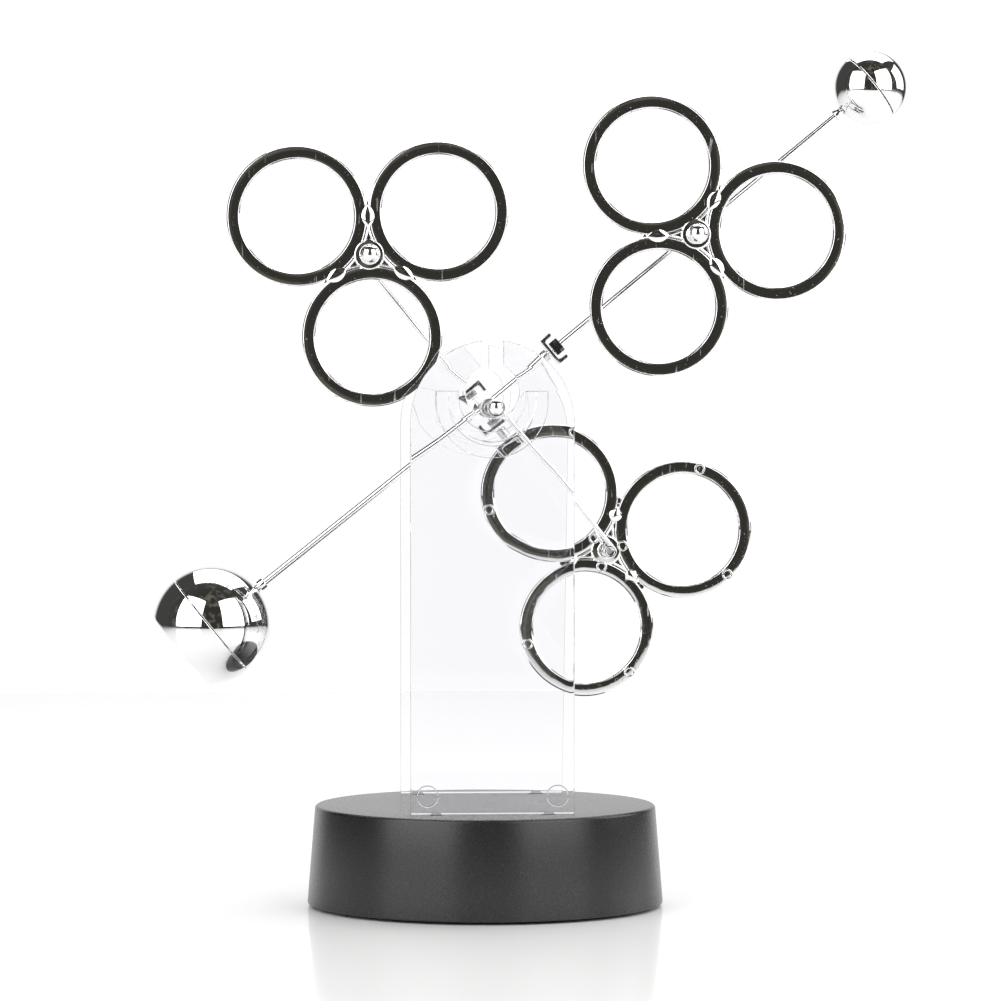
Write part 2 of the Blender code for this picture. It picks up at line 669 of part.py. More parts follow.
def make_trio(mesh, rotor, name, u, v, y, turn):
    """One trio on its own axis, with its pin and the round cap that keeps it on."""
    side = -1 if y < 0 else 1
    spin = empty(f"{name}_spin_axis", (u, y, v), math.radians(turn), rotor)
    trio = bpy.data.objects.new(f"ring_trio_{name}", mesh.copy())
    trio.parent = spin
    trio.matrix_local = Matrix.Rotation(math.radians(90), 4, "X")
    node(trio, f"ring_trio_{name}", CHROME)
    cap_y = y + side * (BOSS_T / 2 + CAP_GAP + CAP_R)
    tip_y = cap_y - side * 0.5
    node(bar((u, PIN_START[name], v), (u, tip_y, v), PIN_R, rotor), f"{name}_pin", STEEL)
    bore = PIN_R + GAP
    start = math.degrees(math.asin(-math.sqrt(CAP_R**2 - bore**2) / CAP_R))
    profile = arc((0, 0), CAP_R, 90, start, 8) + [(bore, 0.1 - GAP), (0, 0.1 - GAP)]
    profile[0] = (0, CAP_R)
    node(put(turned(profile, 18), (u, cap_y, v), (0, side, 0), rotor), f"{name}_pin_cap", CHROME)


def make_pivot_block(rotor):
    """The round block on the upper rod that carries the upper trio's pin."""
    _, u, v, y, _ = TRIOS[1]
    front = y + BOSS_T / 2 + 0.8
    middle = (u, (front + BLOCK_REAR) / 2, v)
    block = put(cylinder(BLOCK_R, BLOCK_REAR - front, 24), middle, (0, 1, 0), rotor)
    slope = (ROD_OFFSET - ROD_AT_HUB) / SMALL_U
    rod_v = ROD_AT_HUB + slope * u
    across = bar((u - 6, 0, rod_v), (u + 6, 0, rod_v), ROD_R + GAP, rotor)
    boolean(block, cutter(across, "block_rod_bore"))
    along = bar((u, front - 2, v), (u, -ROD_R - GAP - 0.2, v), PIN_R + GAP, rotor)
    boolean(block, cutter(along, "block_pin_bore"))
    node(block, "upper_pivot_block", CHROME)


def make_rotor():
    """Everything that rocks, hung on the axle's empty at its resting tilt."""
    rotor = empty("rotor_axis", (AXLE_X, 0, AXLE_Z), TILT)
    make_axle(rotor)
    make_hub(rotor)
    make_rods(rotor)
    make_link(rotor)
    make_drive_ball(rotor)
    make_tip_ball(rotor)
    make_pivot_block(rotor)
    mesh = trio_mesh()
    for name, u, v, y, turn in TRIOS:
        make_trio(mesh, rotor, name, u, v, y, turn)


def main():
    clear_scene()
    make_base_shell()
    make_underside()
    make_power()
    make_board()
    make_coil()
    make_plate("front_plate", -1)
    make_plate("rear_plate", 1)
    make_rotor()


main()
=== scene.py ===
# %% [markdown]
# # A magnetic kinetic desk mobile
# Thin chrome rods cross on an axle between two clear plates. A magnet in the big ball is pushed by a coil
# in the round base, so the cross rocks for ever, and three trios of rings spin on pins at the arms' ends.
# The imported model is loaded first: it carries the joints, and every piece made below rides on its bodies.

import math

import bmesh
import bpy
import numpy as np
from mathutils import Matrix


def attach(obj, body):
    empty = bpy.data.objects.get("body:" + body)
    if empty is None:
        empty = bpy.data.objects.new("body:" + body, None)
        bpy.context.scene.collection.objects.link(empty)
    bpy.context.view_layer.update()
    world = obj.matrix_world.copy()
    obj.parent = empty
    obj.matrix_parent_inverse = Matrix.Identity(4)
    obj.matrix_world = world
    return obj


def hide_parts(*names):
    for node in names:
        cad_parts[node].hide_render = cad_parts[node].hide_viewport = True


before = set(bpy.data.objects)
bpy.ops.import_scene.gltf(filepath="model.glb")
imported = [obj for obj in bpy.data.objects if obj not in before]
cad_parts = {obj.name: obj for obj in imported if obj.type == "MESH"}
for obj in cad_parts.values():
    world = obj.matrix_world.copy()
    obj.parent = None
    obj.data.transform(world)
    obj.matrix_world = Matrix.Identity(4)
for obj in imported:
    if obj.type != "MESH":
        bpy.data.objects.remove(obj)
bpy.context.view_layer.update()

# %% [markdown]
# ## Writing shader maths as plain sums
# A finish is easiest to read as a formula, such as `0.4 + 0.1 * grain`. A small class wraps a socket, so that
# each sign adds its own Math node, and one method adds any other node with its settings and values.


# %% Sockets that can be added and multiplied
class Wire:
    """One output socket; arithmetic on it adds Math nodes."""

    def __init__(self, graph, socket):
        self.graph = graph
        self.socket = socket

    def maths(self, operation, first, second):
        """The Math node of one operation on two values."""
        return self.graph.add("ShaderNodeMath", {"operation": operation}, {0: first, 1: second})

    def __add__(self, other):
        return self.maths("ADD", self, other)

    def __radd__(self, other):
        return self.maths("ADD", other, self)

    def __mul__(self, other):
        return self.maths("MULTIPLY", self, other)

    def __rmul__(self, other):
        return self.maths("MULTIPLY", other, self)


class Graph:
    """The nodes of one material or world."""

    def __init__(self, tree):
        self.tree = tree

    def feed(self, socket, value):
        """Link a wire to a socket, or set its plain value."""
        if isinstance(value, Wire):
            self.tree.links.new(value.socket, socket)
        else:
            socket.default_value = value

    def add(self, kind, settings=None, values=None, output=0):
        """Any node: its settings first, then its sockets; returns one output as a wire."""
        node = self.tree.nodes.new(kind)
        for key, value in (settings or {}).items():
            setattr(node, key, value)
        for key, value in (values or {}).items():
            self.feed(node.inputs[key], value)
        return Wire(self, node.outputs[output])

    def blend(self, factor, first, second):
        """A colour that goes from the first to the second as the factor goes from 0 to 1."""
        return self.add("ShaderNodeMix", {"data_type": "RGBA"}, {0: factor, 6: first, 7: second}, 2)

    def ramp(self, value, low, high):
        """0 below low, 1 above high, and a soft step between."""
        values = {0: value, 1: low, 2: high}
        return self.add("ShaderNodeMapRange", {"interpolation_type": "SMOOTHSTEP"}, values)

    def spot(self, scale=(1, 1, 1)):
        """The place on the piece in metres, stretched along each axis."""
        place = self.add("ShaderNodeTexCoord", output=3)
        return self.add("ShaderNodeMapping", values={"Vector": place, "Scale": scale})

    def noise(self, scale, detail=2.0, stretch=(1, 1, 1)):
        """Cloudy grain with so many lumps to a metre."""
        values = {"Vector": self.spot(stretch), "Scale": scale, "Detail": detail}
        return self.add("ShaderNodeTexNoise", {}, values)

    def bump(self, height, strength, depth):
        """A surface whose small relief follows the height, depth in metres."""
        return self.add("ShaderNodeBump", {}, {"Height": height, "Strength": strength, "Distance": depth})


def finish(name, **fixed):
    """A Principled material with its plain values set, and the graph to vary the rest."""
    made = bpy.data.materials.new(name)
    made.use_nodes = True
    shader = made.node_tree.nodes["Principled BSDF"]
    for key, value in fixed.items():
        shader.inputs[key.replace("_", " ")].default_value = value
    return made, Graph(made.node_tree), shader.inputs


# %% [markdown]
# ## Plated finishes
# The rings and balls are plastic with a bright chrome plating, which is nearly a mirror but for a faint
# unevenness of the moulding under it and a few hairline rubs. The wires and pins are plated steel, with
# fine drawing marks. Both are metals, so all of their look comes from roughness, relief and reflections.


# %% Chrome plating and plain steel
def plated(name, colour, low, high, grain, relief, worn=0.03):
    """Chrome: roughness goes from low to high in patches, relief is its waviness, worn adds rubs."""
    made, graph, sockets = finish(name, Metallic=1.0)
    patch = graph.noise(grain)
    hair = graph.ramp(graph.noise(900.0, 1.0, (1, 0.3, 0.12)), 0.7, 0.74)
    speck = graph.ramp(graph.noise(1300.0), 0.69, 0.73)
    duller = tuple(0.94 * c for c in colour[:3]) + (1,)
    graph.feed(sockets["Base Color"], graph.blend(patch, colour, duller))
    graph.feed(sockets["Roughness"], low + (high - low) * patch + worn * (hair + speck))
    graph.feed(sockets["Normal"], graph.bump(graph.noise(grain * 1.6), 0.35, relief))
    return made


PLATED_PLASTIC = plated("plated plastic", (0.9, 0.9, 0.905, 1), 0.015, 0.06, 90.0, 0.00004)
RING_CHROME = plated("plated rings", (0.9, 0.9, 0.905, 1), 0.015, 0.07, 60.0, 0.00022, 0.2)
PLATED_STEEL = plated("plated steel", (0.86, 0.86, 0.865, 1), 0.05, 0.16, 420.0, 0.00002)
PLAIN_STEEL = plated("turned steel", (0.62, 0.62, 0.63, 1), 0.22, 0.36, 700.0, 0.00003)
MAGNET_PLATE = plated("nickel on the magnet", (0.7, 0.69, 0.66, 1), 0.2, 0.32, 500.0, 0.00003)
print("plated finishes", 5)

# %% [markdown]
# ## Plastics
# The base is satin black moulding with a very fine grain. The plates are clear polished plastic with the
# faintest violet tint; their cut edges are painted grey, a painted shade for the dark lines that refraction
# shows along a plate's edges. A plastic's gloss comes from its roughness, and its grain from a small bump.


# %% Moulded plastics
def moulded(name, dark, light, low, high, grain, relief, **fixed):
    """A grained plastic between two colours, with its roughness between two values."""
    made, graph, sockets = finish(name, **fixed)
    cloud = graph.noise(60.0)
    speck = graph.noise(grain, 3.0)
    graph.feed(sockets["Base Color"], graph.blend(0.6 * cloud + 0.4 * speck, dark, light))
    graph.feed(sockets["Roughness"], low + (high - low) * speck)
    graph.feed(sockets["Normal"], graph.bump(speck, 0.5, relief))
    return made


BASE_BLACK = moulded(
    "satin black plastic", (0.010, 0.010, 0.010, 1), (0.016, 0.016, 0.016, 1),
    0.23, 0.31, 2600.0, 0.00004, Specular_IOR_Level=0.55,
)
DARK_GLOSS = moulded(
    "dark glossy plastic", (0.012, 0.012, 0.013, 1), (0.02, 0.02, 0.021, 1), 0.12, 0.2, 900.0, 0.00002
)
WHITE_PLASTIC = moulded(
    "natural white plastic", (0.66, 0.66, 0.62, 1), (0.76, 0.76, 0.73, 1), 0.35, 0.5, 1200.0, 0.00003
)
RED_PLASTIC = moulded(
    "red snap plastic", (0.34, 0.02, 0.02, 1), (0.46, 0.035, 0.03, 1), 0.35, 0.5, 1200.0, 0.00003
)
FOAM = moulded("foam rubber", (0.012, 0.012, 0.012, 1), (0.03, 0.03, 0.03, 1), 0.8, 0.95, 1900.0, 0.0002)


def clear_plastic_edge_shaded():
    """Clear, but painted grey where the surface turns away from the plate's flat faces: painted shade at the
    cut edges.
    """
    made, graph, sockets = finish("clear plastic with painted edge shade", Transmission_Weight=1.0, IOR=1.36)
    turn = graph.add("ShaderNodeSeparateXYZ", {}, {0: graph.add("ShaderNodeTexCoord", output=1)}, 1)
    flat = graph.ramp(graph.add("ShaderNodeMath", {"operation": "ABSOLUTE"}, {0: turn}), 0.5, 0.995)
    cloud = graph.noise(60.0)
    face = graph.blend(cloud, (0.98, 0.98, 0.996, 1), (0.988, 0.988, 0.999, 1))
    # Painted shade: the cut edges get a grey colour that stands in for the dark lines refraction shows along
    # them.
    graph.feed(sockets["Base Color"], graph.blend(flat, (0.42, 0.42, 0.46, 1), face))
    graph.feed(sockets["Roughness"], 0.012 * cloud)
    return made


CLEAR_PLASTIC_EDGE_SHADED = clear_plastic_edge_shaded()
print("moulded plastics", 6)

# %% [markdown]
# ## Finishes of the drive
# The parts inside the base are seen only when the hatch is open or the base is taken apart: a battery in a
# two-colour jacket, a green board with tinned tracks, and a coil of enamelled copper wire laid in turns.


# %% Board, winding and battery jacket
def banded(name, dark, light, per_metre, direction, metallic, rough):
    """Stripes across one direction, such as wire laid in turns or tracks on a board."""
    made, graph, sockets = finish(name, Metallic=metallic, Roughness=rough)
    values = {"Vector": graph.spot(), "Scale": per_metre, "Distortion": 0.4, "Detail": 1.0}
    band = graph.add("ShaderNodeTexWave", {"bands_direction": direction}, values, 1)
    graph.feed(sockets["Base Color"], graph.blend(band, dark, light))
    graph.feed(sockets["Normal"], graph.bump(band, 0.6, 0.0001))
    return made


WINDINGS, TRACKS = 900.0, 160.0
COPPER_WIRE = banded(
    "enamelled copper wire", (0.36, 0.13, 0.05, 1), (0.76, 0.34, 0.17, 1), WINDINGS, "Z", 1.0, 0.3
)
BOARD_GREEN = banded("green board", (0.02, 0.16, 0.07, 1), (0.05, 0.27, 0.12, 1), TRACKS, "X", 0.0, 0.4)


def battery_jacket():
    """A foil jacket that is dark for two thirds of its length and copper coloured at one end."""
    made, graph, sockets = finish("battery jacket", Metallic=0.6, Roughness=0.28)
    along = graph.add("ShaderNodeSeparateXYZ", {}, {0: graph.spot()})
    end = graph.ramp(along, 0.0095, 0.0097)
    grain = graph.noise(800.0)
    graph.feed(sockets["Base Color"], graph.blend(end, (0.02, 0.02, 0.022, 1), (0.6, 0.3, 0.12, 1)))
    graph.feed(sockets["Normal"], graph.bump(grain, 0.3, 0.00002))
    return made


BATTERY_JACKET = battery_jacket()
print("drive finishes", 3)

# %% [markdown]
# ## Shapes as arrays of points
# Nearly every piece here is turned, drawn or bent, so it is a grid of points: a profile carried round an
# axis. A form keeps its points in millimetres and its faces, and can be aimed, moved and joined to others.


# %% Forms and the turned surface
MM = 0.001
SAME_PLACE = 0.000001


class Form:
    """Points in millimetres, with four-sided and three-sided faces between them."""

    def __init__(self, points, quads=(), tris=()):
        self.points = np.asarray(points, float).reshape(-1, 3)
        self.quads = np.asarray(quads, int).reshape(-1, 4)
        self.tris = np.asarray(tris, int).reshape(-1, 3)

    def __add__(self, other):
        """Both forms as one, the other's faces counted on from this one's points."""
        count = len(self.points)
        return Form(
            np.concatenate([self.points, other.points]),
            np.concatenate([self.quads, other.quads + count]),
            np.concatenate([self.tris, other.tris + count]),
        )

    def moved(self, x=0.0, y=0.0, z=0.0):
        """Each point plus one offset."""
        return Form(self.points + (x, y, z), self.quads, self.tris)

    def mapped(self, rows):
        """Each point times a matrix whose rows say where local x, y and z go."""
        return Form(self.points @ np.asarray(rows, float), self.quads, self.tris)

    def spun(self, degrees):
        """Turned about local z: x goes towards y."""
        c, s = math.cos(math.radians(degrees)), math.sin(math.radians(degrees))
        return self.mapped([(c, s, 0), (-s, c, 0), (0, 0, 1)])

    def aimed(self, axis):
        """Local z laid along an axis, with local x kept as level as it can be."""
        z = np.asarray(axis, float) / np.linalg.norm(axis)
        side = np.cross((0, 1, 0) if abs(z[1]) < 0.9 else (0, 0, 1), z)
        x = side / np.linalg.norm(side)
        return self.mapped([x, np.cross(z, x), z])


def joined(forms):
    """Many forms as one."""
    total = Form(np.zeros((0, 3)))
    for form in forms:
        total = total + form
    return total


def grid(points, wrap_rows=False, wrap_columns=False):
    """Quads between neighbours of a rows x columns array of points, joined end to start where it wraps."""
    rows, columns = points.shape[:2]
    index = np.arange(rows * columns).reshape(rows, columns)
    if wrap_rows:
        index = np.concatenate([index, index[:1]])
    if wrap_columns:
        index = np.concatenate([index, index[:, :1]], axis=1)
    quads = np.stack([index[:-1, :-1], index[1:, :-1], index[1:, 1:], index[:-1, 1:]], axis=-1)
    return Form(points, quads)


def turned(profile, count=96, loop=False):
    """Each (radius, height) point of a profile carried round z: x = r cos a, y = r sin a."""
    profile = np.asarray(profile, float)
    turn = np.linspace(0, 2 * np.pi, count, endpoint=False)[:, None]
    radius, height = profile[:, 0][None], profile[:, 1][None]
    points = np.stack([radius * np.cos(turn), radius * np.sin(turn), height + 0 * turn], axis=-1)
    return grid(points, wrap_rows=True, wrap_columns=loop)


def arc(x, y, radius, start, end, count=12):
    """Points at one radius about (x, y), from one angle in degrees to another."""
    angle = np.radians(np.linspace(start, end, count))
    return np.stack([x + radius * np.cos(angle), y + radius * np.sin(angle)], axis=-1)


def rounded(corners, radius, count=5, loop=True):
    """A polygon whose corners are bent: a curve from one side to the next, pulled towards the corner."""
    corners = np.asarray(corners, float)
    before, after = np.roll(corners, 1, axis=0), np.roll(corners, -1, axis=0)
    step_in, step_out = before - corners, after - corners
    long_in, long_out = np.linalg.norm(step_in, axis=1), np.linalg.norm(step_out, axis=1)
    reach = np.minimum(radius, 0.45 * np.minimum(long_in, long_out))[:, None]
    start = corners + step_in / long_in[:, None] * reach
    end = corners + step_out / long_out[:, None] * reach
    t = np.linspace(0, 1, count)[None, :, None]
    curve = (1 - t) ** 2 * start[:, None] + 2 * t * (1 - t) * corners[:, None] + t**2 * end[:, None]
    if not loop:
        curve[0] = corners[0]
        curve[-1] = corners[-1]
    return curve.reshape(-1, 2)


print("forms ready")

# %% [markdown]
# ## Flat pieces with a soft edge
# Plates and bent strips are an outline with a thickness. Blender fills a flat closed curve and rounds its
# edge by itself, so the outline is given to a curve, made a mesh, and read back as a form.


# %% Outlines to solid forms
def slab(outline, thickness, edge=0.15, resolution=2):
    """A closed outline in x and y, thickened about z = 0, its edges rounded by a small radius."""
    curve = bpy.data.curves.new("outline", "CURVE")
    curve.dimensions = "2D"
    curve.fill_mode = "BOTH"
    curve.extrude = (thickness / 2 - edge) * MM
    curve.bevel_depth = edge * MM
    curve.bevel_resolution = resolution
    curve.offset = -edge * MM
    outline = np.asarray(outline, float)
    spline = curve.splines.new("POLY")
    spline.points.add(len(outline) - 1)
    flat = np.column_stack([outline * MM, np.zeros(len(outline)), np.ones(len(outline))])
    spline.points.foreach_set("co", flat.ravel())
    spline.use_cyclic_u = True
    holder = bpy.data.objects.new("outline", curve)
    bpy.context.scene.collection.objects.link(holder)
    mesh = bpy.data.meshes.new_from_object(holder.evaluated_get(bpy.context.evaluated_depsgraph_get()))
    bpy.data.objects.remove(holder)
    bpy.data.curves.remove(curve)
    mesh.calc_loop_triangles()
    points = np.empty(len(mesh.vertices) * 3)
    tris = np.empty(len(mesh.loop_triangles) * 3, int)
    mesh.vertices.foreach_get("co", points)
    mesh.loop_triangles.foreach_get("vertices", tris)
    bpy.data.meshes.remove(mesh)
    return Form(points / MM, (), tris)


def upright(form):
    """An outline drawn in x and height, stood up to face the front: x stays, y becomes z, z goes back."""
    return form.mapped([(1, 0, 0), (0, 0, 1), (0, -1, 0)])


# %% [markdown]
# ## The rocking cross has its own directions
# The cross stands at a tilt, so its pieces are drawn along, in depth and across, from the axle, and then
# laid over. The long rod runs along, the short arms across, and depth is the axle's own direction.

# %% From the cross's directions to the room's
TILT = 39.17
AXLE = (1.2, 0.0, 167.83)


def on_cross(form):
    """Along and across turned by the tilt about the axle: local x is along, y depth and z across."""
    c, s = math.cos(math.radians(TILT)), math.sin(math.radians(TILT))
    return form.mapped([(c, 0, s), (0, 1, 0), (-s, 0, c)]).moved(*AXLE)


def solid_mesh(name, form):
    """A mesh in metres from a form, its doubles merged and its faces turned outwards."""
    mesh = bpy.data.meshes.new(name)
    mesh.from_pydata((form.points * MM).tolist(), [], form.quads.tolist() + form.tris.tolist())
    work = bmesh.new()
    work.from_mesh(mesh)
    bmesh.ops.remove_doubles(work, verts=work.verts, dist=SAME_PLACE)
    bmesh.ops.recalc_face_normals(work, faces=work.faces)
    work.to_mesh(mesh)
    work.free()
    return mesh


def open_edges(mesh):
    """How many edges don't lie between exactly two faces."""
    work = bmesh.new()
    work.from_mesh(mesh)
    count = sum(1 for edge in work.edges if not edge.is_manifold)
    work.free()
    return count


def piece(name, form, look, body, nodes, angle=35):
    """Make the mesh, shade it smooth but for edges sharper than an angle, and ride the body."""
    name = name.replace(" ", "_")
    mesh = solid_mesh(name, form)
    mesh.shade_smooth()
    mesh.set_sharp_from_angle(angle=math.radians(angle))
    mesh.materials.append(look)
    made = bpy.data.objects.new(name, mesh)
    bpy.context.scene.collection.objects.link(made)
    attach(made, body)
    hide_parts(*nodes)
    print(f"{name}: {len(mesh.polygons)} faces, {open_edges(mesh)} open edges")
    return made


# %% [markdown]
# ## The base
# A round cover of satin black plastic, drafted so that it leaves its mould, with a small round at its top
# edge and four slots for the plates' tabs. It is one turned profile, and boxes cut the slots.

# %% Base shell
BASE_TOP = 34.0
TAB_X = 18.6
TAB_W = 3.7
PLATE_Y = 38.85
PLATE_T = 2.5
ROOM = 0.6


def block(width, depth, height):
    """A box about its centre."""
    corners = np.array([(x, y, z) for z in (-1, 1) for y in (-1, 1) for x in (-1, 1)], float)
    sides = [(0, 2, 3, 1), (4, 5, 7, 6), (0, 1, 5, 4), (2, 6, 7, 3), (0, 4, 6, 2), (1, 3, 7, 5)]
    return Form(corners * (width / 2, depth / 2, height / 2), sides)


def base_profile():
    """From the middle of the top out over the edge, down the drafted side to the lip and back up inside."""
    crown = [(0, BASE_TOP), (20.0, BASE_TOP), (40.0, BASE_TOP)]
    edge = arc(56.35, 32.85, 1.15, 90, 2.5, 9)
    lip = arc(59.5, 1.5, 0.5, 0, -90, 5)
    inside = [(57.5, 1.0), (54.9, 31.6), (0, 31.6)]
    return np.concatenate([crown, edge, lip, inside])


def combine(target, form, operation):
    """Add a form to a piece, or take it away, by an exact Boolean that is applied at once."""
    helper = bpy.data.objects.new("helper", solid_mesh("helper", form))
    bpy.context.scene.collection.objects.link(helper)
    change = target.modifiers.new("change", "BOOLEAN")
    change.operation = operation
    change.solver = "EXACT"
    change.object = helper
    bpy.context.view_layer.update()
    made = bpy.data.meshes.new_from_object(target.evaluated_get(bpy.context.evaluated_depsgraph_get()))
    target.modifiers.clear()
    target.data = made
    bpy.data.objects.remove(helper)
    count, loose = len(made.polygons), open_edges(made)
    print(f"{target.name} after {operation.lower()}: {count} faces, {loose} open edges")


base = piece("base cover", turned(base_profile(), 224), BASE_BLACK, "stand", ["base_shell"])
sites = [(x, y) for y in (-PLATE_Y, PLATE_Y) for x in (-TAB_X, TAB_X)]
slots = joined([block(TAB_W + ROOM, PLATE_T + ROOM, 8).moved(x, y, BASE_TOP) for x, y in sites])
combine(base, slots, "DIFFERENCE")

# %% [markdown]
# ## The two clear plates
# Each is a flat moulding with a round top and a keyhole, open above, that the axle's ball drops into. A
# raised seat in the shape of a U thickens the plate under the hole, in steps. Two tabs stand in the base.

# %% Clear plates
PLATE_HALF = 27.0
ARCH_Z = 163.0
KEY_Z = 173.25
KEY_R = 8.85
SLOT_HALF = 3.6
PLATE_EDGE = 0.4
SEATS = ((18.4, 14.3, 169.6, 0.9), (14.5, 11.0, 170.9, 1.5))
MARKS = {-1: ((-21.4, 40.2), (21.4, 40.2)), 1: ()}
PLATE_SHARP = 10


def plate_outline():
    """Round the plate: foot with its tabs, right side, arch, keyhole and back down the left side."""
    foot, tip = BASE_TOP + 0.3, BASE_TOP - 5.0
    half = TAB_W / 2
    under = [(-PLATE_HALF, foot), (-TAB_X - half, foot), (-TAB_X - half, tip), (-TAB_X + half, tip)]
    under += [(-TAB_X + half, foot), (TAB_X - half, foot), (TAB_X - half, tip), (TAB_X + half, tip)]
    under += [(TAB_X + half, foot), (PLATE_HALF, foot)]
    mouth = math.degrees(math.acos(SLOT_HALF / PLATE_HALF))
    throat = math.degrees(math.acos(SLOT_HALF / KEY_R))
    right = arc(0, ARCH_Z, PLATE_HALF, 0, mouth, 40)
    hole = arc(0, KEY_Z, KEY_R, throat, -180 - throat, 72)
    left = arc(0, ARCH_Z, PLATE_HALF, 180 - mouth, 180, 40)
    return np.concatenate([under, right, hole, left])


def seat(outer, inner, centre, thickness):
    """A U of one width: half a circle below its centre, with both ends run up to the keyhole's middle."""
    far = arc(0, centre, outer, 0, -180, 48)
    near = arc(0, centre, inner, -180, 0, 48)
    ends = [(-outer, KEY_Z), (-inner, KEY_Z)], [(inner, KEY_Z), (outer, KEY_Z)]
    return slab(np.concatenate([far, ends[0], near, ends[1]]), thickness, 0.3, 3)


def ejector_mark(x, z, radius=3.45):
    """The faint raised ring that a mould's ejector pin leaves."""
    ring = turned(arc(radius, 0, 0.22, 0, 360, 9)[:-1], 64, loop=True)
    return ring.moved(x, z, 0)


def make_plate(name, node, side):
    """One plate stood up at its distance from the middle, with its seat and its mould marks added."""
    plate = upright(slab(plate_outline(), PLATE_T, PLATE_EDGE, 4)).moved(y=side * PLATE_Y)
    made = piece(name, plate, CLEAR_PLASTIC_EDGE_SHADED, "stand", [node], PLATE_SHARP)
    for outer, inner, centre, thickness in SEATS:
        step = seat(outer, inner, centre, thickness).moved(z=side * (PLATE_T / 2 + 0.1))
        combine(made, upright(step).moved(y=side * PLATE_Y), "UNION")
    for x, z in MARKS[side]:
        mark = ejector_mark(x, z).moved(z=PLATE_T / 2)
        combine(made, upright(mark).moved(y=side * PLATE_Y), "UNION")
    made.data.set_sharp_from_angle(angle=math.radians(PLATE_SHARP))


make_plate("front clear plate", "front_plate", -1)
make_plate("rear clear plate", "rear_plate", 1)

# %% [markdown]
# ## Rods and arms
# The cross is drawn steel wire with a bright plating. A wire is a profile carried round its own axis, with
# the ends slightly rounded so that they catch the light.

# %% Wires between two points
ROD_R = 1.1
ARM_R = 0.85
ROD_V = 1.3
BALL_V = 2.46


def wire(start, end, radius, count=32):
    """A round bar from one point to another with softly broken ends."""
    start, end = np.asarray(start, float), np.asarray(end, float)
    length = np.linalg.norm(end - start)
    soft = min(0.25, radius / 3)
    low = [(0, 0), (radius - soft, 0), (radius, soft)]
    high = [(radius, length - soft), (radius - soft, length), (0, length)]
    rows = [(radius, length * t) for t in (0.25, 0.5, 0.75)]
    return turned(low + rows + high, count).aimed(end - start).moved(*start)


def collar(radius, bore, length, soft=0.25, count=48):
    """A short sleeve about z, its four edges broken."""
    half = length / 2
    corners = [(bore, half), (radius, half), (radius, -half), (bore, -half)]
    return turned(rounded(corners, soft, 4), count, loop=True)


def sleeve(start, end, radius, bore, soft=0.25):
    """A sleeve between two points."""
    start, end = np.asarray(start, float), np.asarray(end, float)
    length = np.linalg.norm(end - start)
    return collar(radius, bore, length, soft).aimed(end - start).moved(*((start + end) / 2))


def on_rotor(name, form, look, nodes, angle=35):
    """A piece drawn in the cross's directions that rocks with it."""
    return piece(name, on_cross(form), look, "rotor", nodes, angle)


BIG_U = -118.54
SMALL_U = 169.0
rod = wire((BIG_U + 2, 0, BALL_V), (-2.6, 0, ROD_V), ROD_R)
on_rotor("rod to the big ball", rod, PLATED_STEEL, ["drive_rod"])
rod = wire((2.6, 0, ROD_V), (SMALL_U - 2, 0, BALL_V), ROD_R)
on_rotor("rod to the small ball", rod, PLATED_STEEL, ["upper_rod"])

# %% [markdown]
# ## Short arms
# Each short arm is a thinner wire with a sleeve brazed across its end, where a trio's pin goes in.

# %% Short arms with their sleeves
SLEEVE_R = 2.15
PIN_BORE = 1.3
LEFT = (0.74, -10.5, 65.27)
UPPER = (90.35, -10.5, 1.56)
RIGHT = (0.9, 10.5, -63.15)
LEFT_ARM = -1.75
RIGHT_ARM = (2.4, -6.0)

arm = wire((LEFT_ARM, 0, 2.75), (LEFT_ARM, 0, LEFT[2] + 0.6), ARM_R)
arm = arm + sleeve((LEFT[0], -7.8, LEFT[2]), (LEFT[0], 2.0, LEFT[2]), SLEEVE_R, PIN_BORE)
on_rotor("left arm", arm, PLATED_STEEL, ["left_arm"])
arm = wire((RIGHT_ARM[0], RIGHT_ARM[1], -1.8), (RIGHT_ARM[0], RIGHT_ARM[1], RIGHT[2] - 0.6), ARM_R)
arm = arm + sleeve((RIGHT[0], -7.2, RIGHT[2]), (RIGHT[0], 7.8, RIGHT[2]), SLEEVE_R, PIN_BORE)
on_rotor("right arm", arm, PLATED_STEEL, ["right_arm"])

# %% [markdown]
# ## Axle, its balls and the hub
# The axle is a plated wire with a ball pressed on each end, and the balls lie in the plates' keyholes. A
# turned hub sits in the middle of it, with a wider collar towards the front.

# %% Axle, balls and hub
AXLE_HALF = 36.9
AXLE_R = 1.5
AXLE_BALL_R = 3.0
axle = wire((0, -AXLE_HALF, 0), (0, AXLE_HALF, 0), AXLE_R)
on_rotor("axle", axle, PLATED_STEEL, ["axle"])
for name, side in (("front", -1), ("rear", 1)):
    outline = np.concatenate([arc(0, 0, AXLE_BALL_R, 90, -53, 32), [(1.8, -1.7), (0, -1.7)]])
    ball = turned(outline, 64).aimed((0, side, 0)).moved(y=side * PLATE_Y)
    on_rotor(f"{name} axle ball", ball, PLATED_STEEL, [f"axle_ball_{name}"])
corners = [(1.8, 9.0), (3.3, 9.0), (3.3, 3.6), (3.0, 3.6), (3.0, -4.0), (1.8, -4.0)]
hub = turned(rounded(corners, 0.4, 5), 96, loop=True).aimed((0, -1, 0))
on_rotor("hub", hub, PLAIN_STEEL, ["hub"])

# %% [markdown]
# ## Bent strips, nuts and the bead
# Four U-shaped strips are bent from thin plated stock and threaded on the wires next to the hub. A stud,
# two nuts, a spacer, a collar and a dark bead with six flats keep them in place. A strip is an outline with
# a thickness, as the plates are, because its bends all run one way.

# %% Bent strips
STRIP_T = 1.4
STRIP_FLANGE = 4.5
STRIP_DEPTH = 6.0


